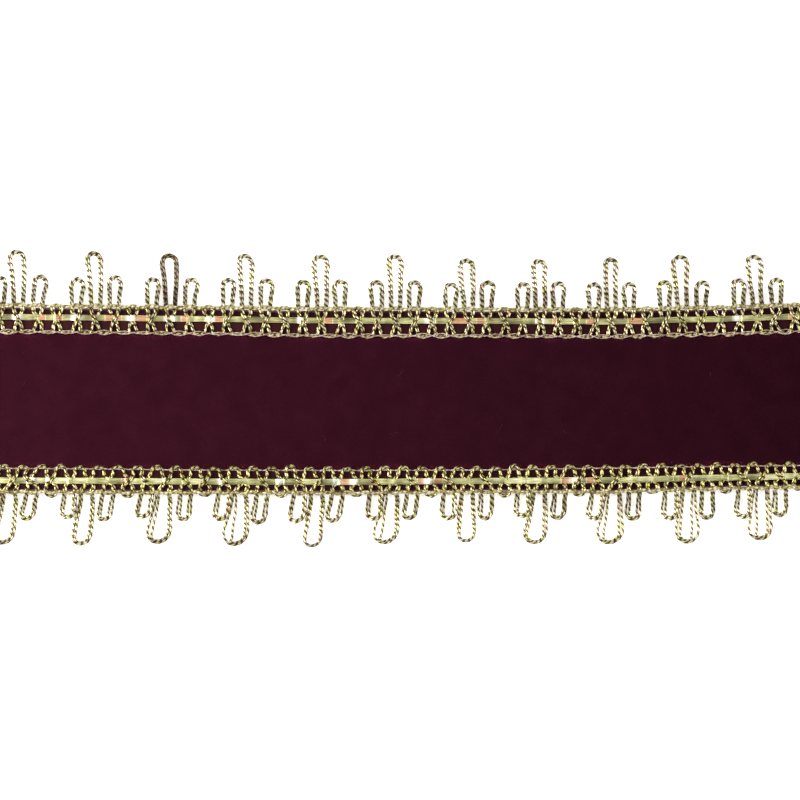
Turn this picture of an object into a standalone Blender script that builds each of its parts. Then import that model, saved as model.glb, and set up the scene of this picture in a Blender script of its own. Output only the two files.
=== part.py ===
"""A cut length of velvet ribbon with a looped metallic braid along each long edge.

The ribbon lies flat, pile up, with its length along X and its width along Y. The
origin is the middle of its underside. Each braid is one pair of twisted cords that
crosses over itself in the heading and stands out past the edge as loops: a short
loop, a tall one, a short one and a small bump, over and over. A thin flat metallic
tape runs the length of each heading.
"""

import collections
import math

import bmesh
import bpy
import numpy as np

MM = 0.001

# The ribbon, in millimetres.
LENGTH = 180.0
RIBBON_THICKNESS = 1.2
RIBBON_INSET = 0.4
RIBBON_STEP = 10.0

# The heading of a braid: a flat band over the ribbon's edge, with a ridge of chain
# stitches along each side.
CLEARANCE = 0.3
BAND_BOTTOM = RIBBON_THICKNESS + CLEARANCE
BAND_TOP = BAND_BOTTOM + 0.5
CHAIN_TOP = BAND_TOP + 0.55
CHAIN_HALF_WIDTH = 0.3
BAND_STEP = 9.0

# The strand: two fine cords side by side, as one with a flat underside and a ridge.
STRAND_WIDTH = 0.9
STRAND_HEIGHT = 0.6
STRAND_SIDES = 3
MITRE_LIMIT = 0.75
LEG_UNDER = BAND_TOP + 0.1
LEG_OVER = BAND_TOP + 0.2
FLOOR_REST = STRAND_HEIGHT / 2
PROPPED_REST = FLOOR_REST + STRAND_HEIGHT + CLEARANCE + 0.05

# Where the two legs of a loop pass the chains, either side of its middle.
OUTER_GAP = 0.92
INNER_GAP = 0.98
ARC_BULGE = 0.45
BUMP_HALF_WIDTH = 0.98
BUMP_DROOP = 0.35
BUMP_POINTS = 3
TIP_POINTS = 2

# The flat tape, laid along the crossings.
TAPE_WIDTH = 1.35
TAPE_THICKNESS = 0.25
TAPE_PLACE = 0.58
TAPE_BOTTOM = LEG_OVER + STRAND_HEIGHT / 2 + CLEARANCE
TAPE_ROLL = 0.12
TAPE_END_GAP = 0.4

# Sections along the ribbon: where each braid's outer and inner chain lies across it.
Section = collections.namedtuple("Section", "x far_outer far_inner near_inner near_outer")
SECTIONS = (
    Section(-90.0, 20.3, 14.8, -14.3, -19.0),
    Section(-70.5, 20.0, 14.7, -14.4, -19.1),
    Section(-40.6, 19.7, 14.4, -14.7, -19.2),
    Section(-12.8, 19.4, 13.9, -14.8, -19.3),
    Section(17.1, 19.3, 13.9, -14.7, -19.0),
    Section(47.0, 19.2, 13.7, -14.3, -19.0),
    Section(65.1, 19.6, 14.2, -14.0, -18.4),
    Section(90.0, 20.3, 14.9, -13.7, -17.9),
)

# One row for each group of loops: where its tall loop is rooted, how wide that loop
# is outside, how far each loop leans along X, and how far it reaches past the chain.
Group = collections.namedtuple(
    "Group", "x tall_width tall_lean tall_reach left_lean left_reach right_lean right_reach"
)
FAR_GROUPS = (
    Group(-79.3, 4.0, -0.6, 12.2, -0.1, 6.6, 0.4, 7.0),
    Group(-62.8, 3.7, -0.6, 12.1, 0.0, 6.5, 0.0, 7.0),
    Group(-46.8, 4.0, -0.5, 11.8, 0.0, 6.7, 0.3, 6.7),
    Group(-30.6, 3.6, -0.5, 11.9, 0.1, 6.7, 0.1, 6.7),
    Group(-14.6, 3.8, -0.3, 11.9, 0.0, 6.5, 0.0, 6.6),
    Group(1.2, 3.6, -0.2, 12.0, -0.2, 6.5, 0.1, 6.5),
    Group(16.8, 3.8, -0.6, 11.2, 0.1, 6.1, 0.3, 6.5),
    Group(32.1, 3.4, -0.3, 11.1, 0.2, 6.2, 0.1, 6.4),
    Group(47.3, 3.1, -0.2, 11.5, 0.1, 6.2, 0.0, 6.2),
    Group(62.4, 4.0, -0.5, 11.7, 0.0, 6.4, 0.4, 6.2),
    Group(78.4, 3.8, -0.6, 11.3, 0.1, 6.4, 0.2, 6.3),
)
NEAR_GROUPS = (
    Group(-80.4, 5.0, -2.7, 11.7, -1.2, 6.2, -1.5, 6.6),
    Group(-64.2, 4.6, -2.0, 11.8, -0.8, 6.2, -1.3, 6.7),
    Group(-47.7, 5.4, -2.1, 11.4, -1.2, 6.0, -0.7, 6.6),
    Group(-31.3, 5.6, -2.1, 11.8, -1.0, 6.5, -1.0, 7.2),
    Group(-15.2, 4.4, -1.6, 12.2, -1.0, 6.9, -1.2, 6.8),
    Group(0.9, 5.6, -2.2, 11.5, -0.4, 6.4, -0.9, 6.4),
    Group(16.6, 4.4, -0.4, 11.4, -0.3, 6.5, -0.2, 6.6),
    Group(32.4, 5.2, -1.6, 11.7, -0.3, 6.0, -0.6, 6.5),
    Group(48.2, 5.8, -1.4, 11.7, -0.7, 6.6, -0.2, 6.8),
    Group(63.8, 5.1, -0.3, 12.1, -0.2, 7.0, 0.1, 7.1),
    Group(79.4, 5.3, -0.3, 11.7, 0.0, 7.0, 0.1, 6.9),
)

# What differs between the two braids. The short width is across the outside of a
# loop, and the drop is how far past the chain a tall loop comes down to the surface.
Edge = collections.namedtuple("Edge", "name side groups outer inner left_width right_width bump_reach tall_drop")
FAR = Edge("far", 1.0, FAR_GROUPS, "far_outer", "far_inner", 3.4, 3.4, 1.1, 4.5)
NEAR = Edge("near", -1.0, NEAR_GROUPS, "near_outer", "near_inner", 3.8, 3.4, 1.6, 3.0)

ELEMENTS_PER_GROUP = 4
FIRST_ELEMENT = -2
LEAN_POWER = 1.2

Material = collections.namedtuple("Material", "name colour roughness metallic")
VELVET = Material("burgundy pile velvet", (0.036, 0.006, 0.012), 0.85, 0.0)
GILT_CORD = Material("twisted gilt cord", (0.41, 0.33, 0.15), 0.4, 0.8)
GILT_TAPE = Material("flat metallised tape", (0.60, 0.58, 0.27), 0.2, 1.0)


def smooth_step(value):
    """Rises from 0 to 1 with level ends: three times the square less twice the cube."""
    value = np.clip(value, 0.0, 1.0)
    return value * value * (3.0 - 2.0 * value)


def across(column, x):
    """The named column of SECTIONS at x, eased from one section to the next."""
    places = np.array([section.x for section in SECTIONS])
    values = np.array([getattr(section, column) for section in SECTIONS])
    x = np.clip(x, places[0], places[-1])
    index = np.clip(np.searchsorted(places, x, side="right") - 1, 0, len(places) - 2)
    share = smooth_step((x - places[index]) / (places[index + 1] - places[index]))
    straight = (x - places[index]) / (places[index + 1] - places[index])
    share = (share + straight) / 2
    return values[index] + (values[index + 1] - values[index]) * share


def element_x(edge, number):
    """The middle of an element. Four of them share the way from one group to the next."""
    roots = np.array([group.x for group in edge.groups])
    before = 2 * roots[0] - roots[1]
    after = 2 * roots[-1] - roots[-2]
    roots = np.concatenate([[before], roots, [after]])
    return float(np.interp(number / ELEMENTS_PER_GROUP, np.arange(-1, len(edge.groups) + 1), roots))


def element_numbers(edge):
    """From the bump before the first group to the bump after the last one."""
    last = ELEMENTS_PER_GROUP * (len(edge.groups) - 1) - FIRST_ELEMENT
    return range(FIRST_ELEMENT, last + 1)


def make_material(spec):
    material = bpy.data.materials.new(spec.name)
    material.use_nodes = True
    shader = material.node_tree.nodes["Principled BSDF"]
    shader.inputs["Base Color"].default_value = (*spec.colour, 1.0)
    shader.inputs["Roughness"].default_value = spec.roughness
    shader.inputs["Metallic"].default_value = spec.metallic
    material.diffuse_color = (*spec.colour, 1.0)
    return material


def add_object(name, points, faces, material):
    """An object whose mesh is given in millimetres, its closed shells facing out."""
    mesh = bpy.data.meshes.new(name)
    mesh.from_pydata((np.asarray(points) * MM).tolist(), [], faces)
    shape = bmesh.new()
    shape.from_mesh(mesh)
    bmesh.ops.recalc_face_normals(shape, faces=shape.faces)
    shape.to_mesh(mesh)
    shape.free()
    mesh.materials.append(material)
    result = bpy.data.objects.new(name, mesh)
    bpy.context.scene.collection.objects.link(result)
    return result


def carried(rings):
    """Faces of a closed profile carried along a path: rings is (stations, sides)."""
    stations, sides = rings
    faces = []
    for station in range(stations - 1):
        for side in range(sides):
            after = (side + 1) % sides
            here = station * sides
            there = here + sides
            faces.append((here + side, here + after, there + after, there + side))
    last = (stations - 1) * sides
    faces.append(tuple(reversed(range(sides))))
    faces.append(tuple(range(last, last + sides)))
    return faces


def stations_along(step):
    return np.linspace(-LENGTH / 2, LENGTH / 2, round(LENGTH / step) + 1)


def make_ribbon(material):
    """The velvet: a thin slab whose edges follow the outer chains."""
    x = stations_along(RIBBON_STEP)
    far = across("far_outer", x) - RIBBON_INSET
    near = across("near_outer", x) + RIBBON_INSET
    low = np.zeros_like(x)
    high = np.full_like(x, RIBBON_THICKNESS)
    corners = [(x, near, low), (x, far, low), (x, far, high), (x, near, high)]
    points = np.stack([np.stack(corner, axis=1) for corner in corners], axis=1)
    faces = carried((len(x), len(corners)))
    return add_object("velvet_ribbon", points.reshape(-1, 3), faces, material)


def band_profile(edge, x):
    """The heading's section at each x: a flat band with a ridge at each side."""
    outer = across(edge.outer, x)
    inner = across(edge.inner, x)
    half = CHAIN_HALF_WIDTH
    profile = (
        (outer, half, BAND_BOTTOM),
        (outer, half, BAND_TOP),
        (outer, 0.0, CHAIN_TOP),
        (outer, -half, BAND_TOP),
        (inner, half, BAND_TOP),
        (inner, 0.0, CHAIN_TOP),
        (inner, -half, BAND_TOP),
        (inner, -half, BAND_BOTTOM),
    )
    columns = [
        np.stack([x, line + edge.side * beyond, np.full_like(x, z)], axis=1)
        for line, beyond, z in profile
    ]
    return np.stack(columns, axis=1)


def loop_side(height, half_width, drop):
    """One side of a loop, root to tip: its half width and height. The legs open in a
    straight line, and the tip is a half circle."""
    body_height = np.unique(np.minimum([0.0, drop, height - half_width], height - half_width))
    body_width = OUTER_GAP + (half_width - OUTER_GAP) * body_height / body_height[-1]
    turn = np.linspace(0.0, math.pi / 2, TIP_POINTS + 1)[1:]
    tip_width = half_width * np.cos(turn)
    tip_height = height - half_width + half_width * np.sin(turn)
    return np.concatenate([body_width, tip_width]), np.concatenate([body_height, tip_height])


def loop_route(edge, number):
    """Points (x, past the chain, z) of one element's loop, its right leg first.

    The legs cross in the heading, so the one that comes from the left stands on
    the right.
    """
    middle = element_x(edge, number)
    kind = number % ELEMENTS_PER_GROUP
    if kind == 2:
        turn = np.linspace(0.0, math.pi, BUMP_POINTS + 1)
        out = (edge.bump_reach - STRAND_WIDTH / 2) * np.sin(turn)
        x = middle + BUMP_HALF_WIDTH * np.cos(turn)
        return np.stack([x, out, LEG_UNDER - BUMP_DROOP * np.sin(turn)], axis=1)
    group = edge.groups[round(number / ELEMENTS_PER_GROUP)]
    if kind == 0:
        lean, reach, width = group.tall_lean, group.tall_reach, group.tall_width
    elif kind == 1:
        lean, reach, width = group.right_lean, group.right_reach, edge.right_width
    else:
        lean, reach, width = group.left_lean, group.left_reach, edge.left_width
    height = reach - STRAND_WIDTH / 2
    half_width = (width - STRAND_WIDTH) / 2
    drop = edge.tall_drop if kind == 0 else height - half_width
    half, out = loop_side(height, half_width, drop)
    half = np.concatenate([half, -half[-2::-1]])
    out = np.concatenate([out, out[-2::-1]])
    x = middle + half + lean * (out / height) ** LEAN_POWER
    rest = np.full_like(out, FLOOR_REST)
    if kind == 3 and edge.side < 0:
        # This short loop lies on the tall one beside it, and droops on its far side.
        raised = np.clip(1.0 + half / half_width, 0.0, 1.0)
        rest = FLOOR_REST + (PROPPED_REST - FLOOR_REST) * raised
    z = LEG_UNDER + (rest - LEG_UNDER) * np.minimum(out / drop, 1.0)
    return np.stack([x, out, z], axis=1)


def strand_route(edge):
    """The whole strand of one braid: for each element an arc at the inner chain, a
    leg across the heading, the loop, and the leg back, which crosses the first."""
    numbers = element_numbers(edge)
    rows = []
    for number in numbers:
        middle = element_x(edge, number)
        inner = across(edge.inner, middle) * edge.side
        outer = across(edge.outer, middle) * edge.side
        from_left = LEG_OVER if number % 2 else LEG_UNDER
        from_right = LEG_UNDER if number % 2 else LEG_OVER
        pitch = element_x(edge, number + 1) - middle
        loop = loop_route(edge, number)
        loop[:, 1] += outer
        loop[0, 2] = from_left
        loop[-1, 2] = from_right
        rows.append((middle - INNER_GAP, inner, from_left))
        rows.extend(loop)
        rows.append((middle + INNER_GAP, inner, from_right))
        if number < numbers[-1]:
            rows.append((middle + pitch / 2, inner - ARC_BULGE, LEG_UNDER))
    route = np.array(rows)
    route[:, 1] *= edge.side
    return route


def strand_mesh(route):
    """A flat-bottomed strand along the route. Its section stays upright, and is
    widened at a bend so that the strand keeps its width."""
    along = np.diff(route[:, :2], axis=0)
    along /= np.linalg.norm(along, axis=1, keepdims=True)
    before = np.vstack([along[:1], along])
    after = np.vstack([along, along[-1:]])
    mean = before + after
    mean /= np.linalg.norm(mean, axis=1, keepdims=True)
    widen = 1.0 / np.clip((mean * before).sum(axis=1), MITRE_LIMIT, 1.0)
    sideways = np.stack([-mean[:, 1], mean[:, 0], np.zeros(len(mean))], axis=1)
    reach = sideways * (widen * STRAND_WIDTH / 2)[:, None]
    lift = np.array([0.0, 0.0, STRAND_HEIGHT / 2])
    corners = [route - reach - lift, route + reach - lift, route + lift]
    points = np.stack(corners, axis=1).reshape(-1, 3)
    return points, carried((len(route), STRAND_SIDES))


def make_braid(edge, material):
    """The band with its strand fused into it."""
    x = stations_along(BAND_STEP)
    profile = band_profile(edge, x)
    faces = carried(profile.shape[:2])
    braid = add_object(f"{edge.name}_braid", profile.reshape(-1, 3), faces, material)
    strand = add_object(f"{edge.name}_strand_guide", *strand_mesh(strand_route(edge)), material)
    strand.hide_render = True
    strand.display_type = "WIRE"
    fuse = braid.modifiers.new("fuse the strand", "BOOLEAN")
    fuse.operation = "UNION"
    fuse.solver = "EXACT"
    fuse.use_self = True
    fuse.object = strand
    return braid


def make_tape(edge, material):
    """The flat tape over the crossings. It rolls a little one way and then the other,
    so that each stretch between two crossings is a facet of its own."""
    crossings = [element_x(edge, number) for number in element_numbers(edge)]
    end = LENGTH / 2 - TAPE_END_GAP
    x = np.array([-end, *crossings, end])
    outer = across(edge.outer, x)
    inner = across(edge.inner, x)
    y = inner + (outer - inner) * TAPE_PLACE
    half = TAPE_WIDTH / 2
    roll = np.where(np.arange(len(x)) % 2, TAPE_ROLL, 0.0)
    left = TAPE_BOTTOM + roll
    right = TAPE_BOTTOM + TAPE_ROLL - roll
    corners = (
        (y - half, left),
        (y + half, right),
        (y + half, right + TAPE_THICKNESS),
        (y - half, left + TAPE_THICKNESS),
    )
    points = np.stack([np.stack([x, *corner], axis=1) for corner in corners], axis=1)
    faces = carried(points.shape[:2])
    return add_object(f"{edge.name}_tape", points.reshape(-1, 3), faces, material)


def clear_scene():
    for old in list(bpy.data.objects):
        bpy.data.objects.remove(old, do_unlink=True)


clear_scene()
velvet = make_material(VELVET)
gilt_cord = make_material(GILT_CORD)
gilt_tape = make_material(GILT_TAPE)
make_ribbon(velvet)
for braid_edge in (FAR, NEAR):
    make_braid(braid_edge, gilt_cord)
    make_tape(braid_edge, gilt_tape)
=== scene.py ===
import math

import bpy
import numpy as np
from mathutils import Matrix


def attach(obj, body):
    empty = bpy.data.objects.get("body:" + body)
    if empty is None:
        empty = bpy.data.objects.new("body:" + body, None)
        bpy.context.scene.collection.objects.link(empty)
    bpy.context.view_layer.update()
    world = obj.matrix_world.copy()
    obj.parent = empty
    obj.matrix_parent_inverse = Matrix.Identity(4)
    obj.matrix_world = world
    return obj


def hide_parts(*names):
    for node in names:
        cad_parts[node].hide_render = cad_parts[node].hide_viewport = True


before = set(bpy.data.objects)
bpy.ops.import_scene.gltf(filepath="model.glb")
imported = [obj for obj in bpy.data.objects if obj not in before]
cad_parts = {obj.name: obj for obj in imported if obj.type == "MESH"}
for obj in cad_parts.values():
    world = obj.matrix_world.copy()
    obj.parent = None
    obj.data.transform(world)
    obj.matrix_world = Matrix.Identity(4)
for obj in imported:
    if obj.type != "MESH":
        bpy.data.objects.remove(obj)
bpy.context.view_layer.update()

# %% [markdown]
# # A velvet ribbon with a looped gilt braid on each edge
#
# The real trim is a burgundy velvet ribbon about 38 mm wide. A narrow knitted braid
# is sewn over each of its long edges. The braid is one pair of fine twisted gilt
# cords that runs to and fro: it turns on the velvet, crosses the heading, stands out
# past the edge as a loop, comes back across itself, and turns again. A flat strip of
# metallised film runs down the middle of the heading, and thin pale threads chain
# the cords together along both sides.
#
# Everything below is worked out in millimetres and put into the meshes in metres.

MM = 0.001

# %% [markdown]
# ## The camera
#
# The picture was taken from straight above with little perspective, so the camera
# hangs over the trim with a long lens. One pixel of the 800 pixel wide view is
# 0.2135 mm at the velvet's surface, and that sets the lens from the distance.

# %% Camera
VIEW_PIXELS = 800
PIXEL_SIZE = 0.2135
VIEW_CENTRE = (2.13, 0.19)
PILE_TOP = 1.2
CAMERA_DISTANCE = 600.0
SENSOR_WIDTH = 36.0


def add_object(name, data):
    """A new object with this data, linked into the scene."""
    new_object = bpy.data.objects.new(name, data)
    bpy.context.scene.collection.objects.link(new_object)
    return new_object


camera_data = bpy.data.cameras.new("camera")
camera_data.sensor_width = SENSOR_WIDTH
camera_data.lens = SENSOR_WIDTH * CAMERA_DISTANCE / (VIEW_PIXELS * PIXEL_SIZE)
camera_data.clip_start = 0.01
camera_data.clip_end = 10.0
camera = add_object("camera", camera_data)
camera.location = (VIEW_CENTRE[0] * MM, VIEW_CENTRE[1] * MM, (PILE_TOP + CAMERA_DISTANCE) * MM)
bpy.context.scene.camera = camera
print("lens", round(camera_data.lens, 1), "mm")

# %% [markdown]
# ## The measured tables
#
# These repeat the solids' own driving sizes. Each row of the sections says where the
# outer and inner edge of both headings lie across the ribbon, so the slight bow of
# the real one is kept. Each row of the groups is one cluster of loops: where its tall
# loop is rooted, how wide that loop is, and how far each loop leans and reaches.
# The last three columns say how far the two cords of the tall loop stand apart on its
# left and right leg, and how far the pair is rolled at its tip, in radians. That is
# easy to see on the near edge, where some tall loops are splayed wide.

# %% Tables
LENGTH = 180.0


def table(columns, *rows):
    """Rows of numbers as one array for each named column."""
    return dict(zip(columns.split(), np.array(rows, float).T))


SECTIONS = table(
    "x far_outer far_inner near_inner near_outer",
    (-90.0, 20.3, 14.8, -14.3, -19.0),
    (-70.5, 20.0, 14.7, -14.4, -19.1),
    (-40.6, 19.7, 14.4, -14.7, -19.2),
    (-12.8, 19.4, 13.9, -14.8, -19.3),
    (17.1, 19.3, 13.9, -14.7, -19.0),
    (47.0, 19.2, 13.7, -14.3, -19.0),
    (65.1, 19.6, 14.2, -14.0, -18.4),
    (90.0, 20.3, 14.9, -13.7, -17.9),
)
GROUP_COLUMNS = "x width lean reach left_lean left_reach right_lean right_reach part_left part_right tip_roll"
FAR_GROUPS = table(
    GROUP_COLUMNS,
    (-79.3, 4.0, -0.6, 12.2, -0.1, 6.6, 0.4, 7.0, 0.1, 0.1, 0.1),
    (-62.8, 3.7, -0.6, 12.1, 0.0, 6.5, 0.0, 7.0, 0.1, 0.1, 0.1),
    (-46.8, 4.0, -0.5, 11.8, 0.0, 6.7, 0.3, 6.7, 0.1, 0.1, 0.1),
    (-30.6, 3.6, -0.5, 11.9, 0.1, 6.7, 0.1, 6.7, 0.1, 0.1, 0.1),
    (-14.6, 3.8, -0.3, 11.9, 0.0, 6.5, 0.0, 6.6, 0.1, 0.1, 0.1),
    (1.2, 3.6, -0.2, 12.0, -0.2, 6.5, 0.1, 6.5, 0.1, 0.1, 0.1),
    (16.8, 3.8, -0.6, 11.2, 0.1, 6.1, 0.3, 6.5, 0.2, 0.2, 0.1),
    (32.1, 3.4, -0.3, 11.1, 0.2, 6.2, 0.1, 6.4, 0.1, 0.1, 0.1),
    (47.3, 3.1, -0.2, 11.5, 0.1, 6.2, 0.0, 6.2, 0.1, 0.1, 0.1),
    (62.4, 4.0, -0.5, 11.7, 0.0, 6.4, 0.4, 6.2, 0.1, 0.1, 0.1),
    (78.4, 3.8, -0.6, 11.3, 0.1, 6.4, 0.2, 6.3, 0.1, 0.1, 0.1),
)
NEAR_GROUPS = table(
    GROUP_COLUMNS,
    (-80.4, 5.0, -2.7, 11.7, -1.2, 6.2, -1.5, 6.6, 0.3, 0.1, 0.3),
    (-64.2, 4.6, -2.0, 11.8, -0.8, 6.2, -1.3, 6.7, 0.1, 0.1, 0.1),
    (-47.7, 5.4, -2.1, 11.4, -1.2, 6.0, -0.7, 6.6, 0.6, 0.1, 0.1),
    (-31.3, 5.6, -2.1, 11.8, -1.0, 6.5, -1.0, 7.2, 1.4, 0.2, 0.1),
    (-15.2, 4.4, -1.6, 12.2, -1.0, 6.9, -1.2, 6.8, 0.1, 0.1, 1.1),
    (0.9, 5.6, -2.2, 11.5, -0.4, 6.4, -0.9, 6.4, 1.2, 0.1, 0.1),
    (16.6, 4.4, -0.4, 11.4, -0.3, 6.5, -0.2, 6.6, 0.2, 0.1, 1.2),
    (32.4, 5.2, -1.6, 11.7, -0.3, 6.0, -0.6, 6.5, 0.2, 0.3, 0.6),
    (48.2, 5.8, -1.4, 11.7, -0.7, 6.6, -0.2, 6.8, 0.9, 0.4, 0.1),
    (63.8, 5.1, -0.3, 12.1, -0.2, 7.0, 0.1, 7.1, 0.4, 1.0, 0.1),
    (79.4, 5.3, -0.3, 11.7, 0.0, 7.0, 0.1, 6.9, 1.2, 0.4, 0.1),
)
print("ribbon", LENGTH, "mm,", len(FAR_GROUPS["x"]), "groups of loops on each edge")

# %% [markdown]
# ## What differs between the two edges
#
# On the far edge the loops stand straight. On the near edge they are wider and
# splayed, and the left short loop of each group lies over the tall one. The values
# below were measured or matched, and hold for one whole edge.
#
# - Loops: the widths of the short loops and of the bump, how far the bump stands out,
#   how far the cords of a short loop may part (loose), and how far out a tall loop
#   comes down to the table (drop). Then half the gap between a loop's roots, and the
#   share of its lean that a tall loop has at its roots already.
# - Legs in the heading: half the gap between them at the turns (inner_gap) and the
#   share of it left half way to the tape. Then how far a leg lies from the middle of
#   its element at the tape and past it, how far its cords fan out, how often a leg
#   lies over the tape, the pair's roll at a turn, and the share of it in the legs.
# - Velvet: how far the turns bulge onto it, and how far its edge lies inside the
#   outer chain's line.
# - Cords: how tightly they are pulled in the heading, how much gold is painted on
#   there as a painted reflection and, as warm, as a warmer tint in the loops, and the
#   middle and half width of a loop without its film.
# - Chains: the sway, climb, height and radius of the inner one, and how far the outer
#   one lies outside its line.
# - Tape: its place between the two chain lines, its width, the range of its tints and
#   its share of copper.

# %% Edges
ELEMENTS_PER_GROUP = 4
TALL, RIGHT, BUMP, LEFT = 0, 1, 2, 3
FAR = dict(
    name="far", side=1.0, groups=FAR_GROUPS, seed=11,
    left_width=3.3, right_width=3.3, bump_width=2.7, bump=0.78, loose=0.1, drop=4.5,
    root_gap=0.92, root_lean=0.0,
    inner_gap=1.02, halfway=0.6, at_tape=0.22, past_tape=0.78, fan=0.06,
    over=0.7, roll=1.0, leg_roll=0.8,
    bulge=0.14, inset=0.14,
    tight=0.84, gold_tint_and_reflection=0.55, warm=0.0, bare=(-46.8, 2.5),
    lens=0.34, climb=0.0, inner_z=1.84, inner_radius=0.125, chain_shift=0.25,
    tape=0.585, tape_width=1.2, tints=(0.0, 0.5), copper=0.24,
)
NEAR = dict(
    name="near", side=-1.0, groups=NEAR_GROUPS, seed=23,
    left_width=3.8, right_width=3.4, bump_width=3.1, bump=1.5, loose=0.3, drop=3.0,
    root_gap=1.12, root_lean=0.25,
    inner_gap=1.04, halfway=0.85, at_tape=0.0, past_tape=0.98, fan=0.0,
    over=0.65, roll=1.15, leg_roll=0.7,
    bulge=0.5, inset=-0.2,
    tight=0.92, gold_tint_and_reflection=0.8, warm=0.35, bare=(0.0, 0.0),
    lens=0.12, climb=0.06, inner_z=1.42, inner_radius=0.12, chain_shift=0.36,
    tape=0.555, tape_width=1.25, tints=(0.25, 0.7), copper=0.06,
)


def smooth_step(value):
    """Rises from 0 to 1 with level ends: three times the square less twice the cube."""
    value = np.clip(value, 0.0, 1.0)
    return value * value * (3.0 - 2.0 * value)


def across(column, x):
    """A column of the sections at x, eased half way between straight and smooth."""
    x = np.clip(x, -LENGTH / 2, LENGTH / 2)
    places, values = SECTIONS["x"], SECTIONS[column]
    index = np.clip(np.searchsorted(places, x, side="right") - 1, 0, len(places) - 2)
    straight = (x - places[index]) / (places[index + 1] - places[index])
    share = (smooth_step(straight) + straight) / 2
    return values[index] + (values[index + 1] - values[index]) * share


def chain_line(edge, which, x):
    """How far the outer or inner chain lies from the ribbon's middle, as a length."""
    return across(f"{edge['name']}_{which}", x) * edge["side"]


def element_places(edge):
    """The number of each element and its middle in x. Four share the way from one
    group to the next: the tall loop is 0, the right short one 1, the bump 2 and the
    left short loop of the next group 3."""
    roots = edge["groups"]["x"]
    roots = np.concatenate([[2 * roots[0] - roots[1]], roots, [2 * roots[-1] - roots[-2]]])
    count = len(edge["groups"]["x"])
    numbers = np.arange(-2, ELEMENTS_PER_GROUP * (count - 1) + 3)
    return numbers, np.interp(numbers / ELEMENTS_PER_GROUP, np.arange(-1, count + 1), roots)


print("each edge has", len(element_places(FAR)[0]), "elements, 3.9 mm apart")

# %% [markdown]
# ## Curves, tubes and meshes
#
# Four helpers serve every thread here. The first draws a smooth curve through a few
# points, as a thread takes when it is pulled round its neighbours. The second gives
# the directions across that curve, and the third sets rings of points round it. The
# fourth skins such rings into a closed mesh. A thread could also be a curve object
# with a bevel, but then its section could not swell and sink along it, and that
# swelling is what makes a cord look twisted.

# %% Helpers for curves and meshes
def smooth_curve(points, step):
    """A curve through the points with even spacing. Its slope at a point is the mean
    of the slopes to its two neighbours, each weighted by the other's distance, and
    between points it is a cubic with those slopes at its ends. Columns past the third
    are carried along with x, y and z."""
    gaps = np.linalg.norm(np.diff(points[:, :3], axis=0), axis=1)
    place = np.concatenate([[0.0], np.cumsum(gaps)])
    slopes = np.diff(points, axis=0) / gaps[:, None]
    inner = (slopes[1:] * gaps[:-1, None] + slopes[:-1] * gaps[1:, None]) / (gaps[1:] + gaps[:-1])[:, None]
    tangents = np.vstack([slopes[:1], inner, slopes[-1:]])
    fine = np.linspace(0.0, place[-1], int(place[-1] / step * 2))
    index = np.clip(np.searchsorted(place, fine, side="right") - 1, 0, len(gaps) - 1)
    t = ((fine - place[index]) / gaps[index])[:, None]
    span = gaps[index][:, None]
    curve = (
        points[index] * (2 * t**3 - 3 * t**2 + 1)
        + tangents[index] * span * (t**3 - 2 * t**2 + t)
        + points[index + 1] * (3 * t**2 - 2 * t**3)
        + tangents[index + 1] * span * (t**3 - t**2)
    )
    travelled = np.concatenate([[0.0], np.cumsum(np.linalg.norm(np.diff(curve[:, :3], axis=0), axis=1))])
    even = np.linspace(0.0, travelled[-1], int(travelled[-1] / step) + 1)
    columns = [np.interp(even, travelled, curve[:, i]) for i in range(points.shape[1])]
    return np.stack(columns, axis=1), even


def directions(path):
    """Two unit vectors at each point of a path: the level one across it to its right,
    and the one up from it."""
    along = np.gradient(path, axis=0)
    along /= np.linalg.norm(along, axis=1, keepdims=True)
    right = np.stack([along[:, 1], -along[:, 0], np.zeros(len(along))], axis=1)
    right /= np.linalg.norm(right, axis=1, keepdims=True)
    return right, np.cross(right, along)


def ring_angles(sides):
    """Angles of a ring's points, evenly round a circle from its right."""
    return np.arange(sides) * 2 * math.pi / sides


def tube(path, radius, angle):
    """Rings of points round a path: the radius times the cosine of each angle to the
    right of it, and times the sine above it."""
    right, up = directions(path)
    return (
        path[:, None, :]
        + right[:, None, :] * (radius * np.cos(angle))[..., None]
        + up[:, None, :] * (radius * np.sin(angle))[..., None]
    )


def ring_faces(rings, sides):
    """Quads between rings of points, and a many-sided face to close each end."""
    start = np.arange(rings - 1)[:, None] * sides
    here = np.arange(sides)[None, :]
    after = (here + 1) % sides
    quads = np.stack([start + here, start + after, start + sides + after, start + sides + here], axis=-1)
    last = (rings - 1) * sides
    ends = [list(range(sides))[::-1], list(range(last, last + sides))]
    return quads.reshape(-1, 4).tolist() + ends


def add_mesh(name, points, faces, material, smooth=True):
    """A piece whose points are given in millimetres. It sits at the origin."""
    mesh = bpy.data.meshes.new(name)
    mesh.from_pydata((points * MM).reshape(-1, 3).tolist(), [], faces)
    mesh.polygons.foreach_set("use_smooth", np.full(len(mesh.polygons), smooth))
    mesh.materials.append(material)
    piece = add_object(name, mesh)
    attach(piece, "root")
    return piece


def add_attribute(piece, name, values):
    """Stores one number for each point of a mesh, for its material to read."""
    attribute = piece.data.attributes.new(name, "FLOAT", "POINT")
    attribute.data.foreach_set("value", np.asarray(values, np.float32).ravel())


def triangles(piece):
    """How many triangles the piece has once its faces are split."""
    return sum(len(face.vertices) - 2 for face in piece.data.polygons)


# %% [markdown]
# ## Colours and nodes
#
# Colours are written as the sRGB values that a picture shows, and turned to the
# linear values that the renderer works in. One function adds any node, sets its
# values and makes its links. The short ones after it add the nodes that most
# finishes here need, such as a noise, a ramp of colours, or two colours mixed.

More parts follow.
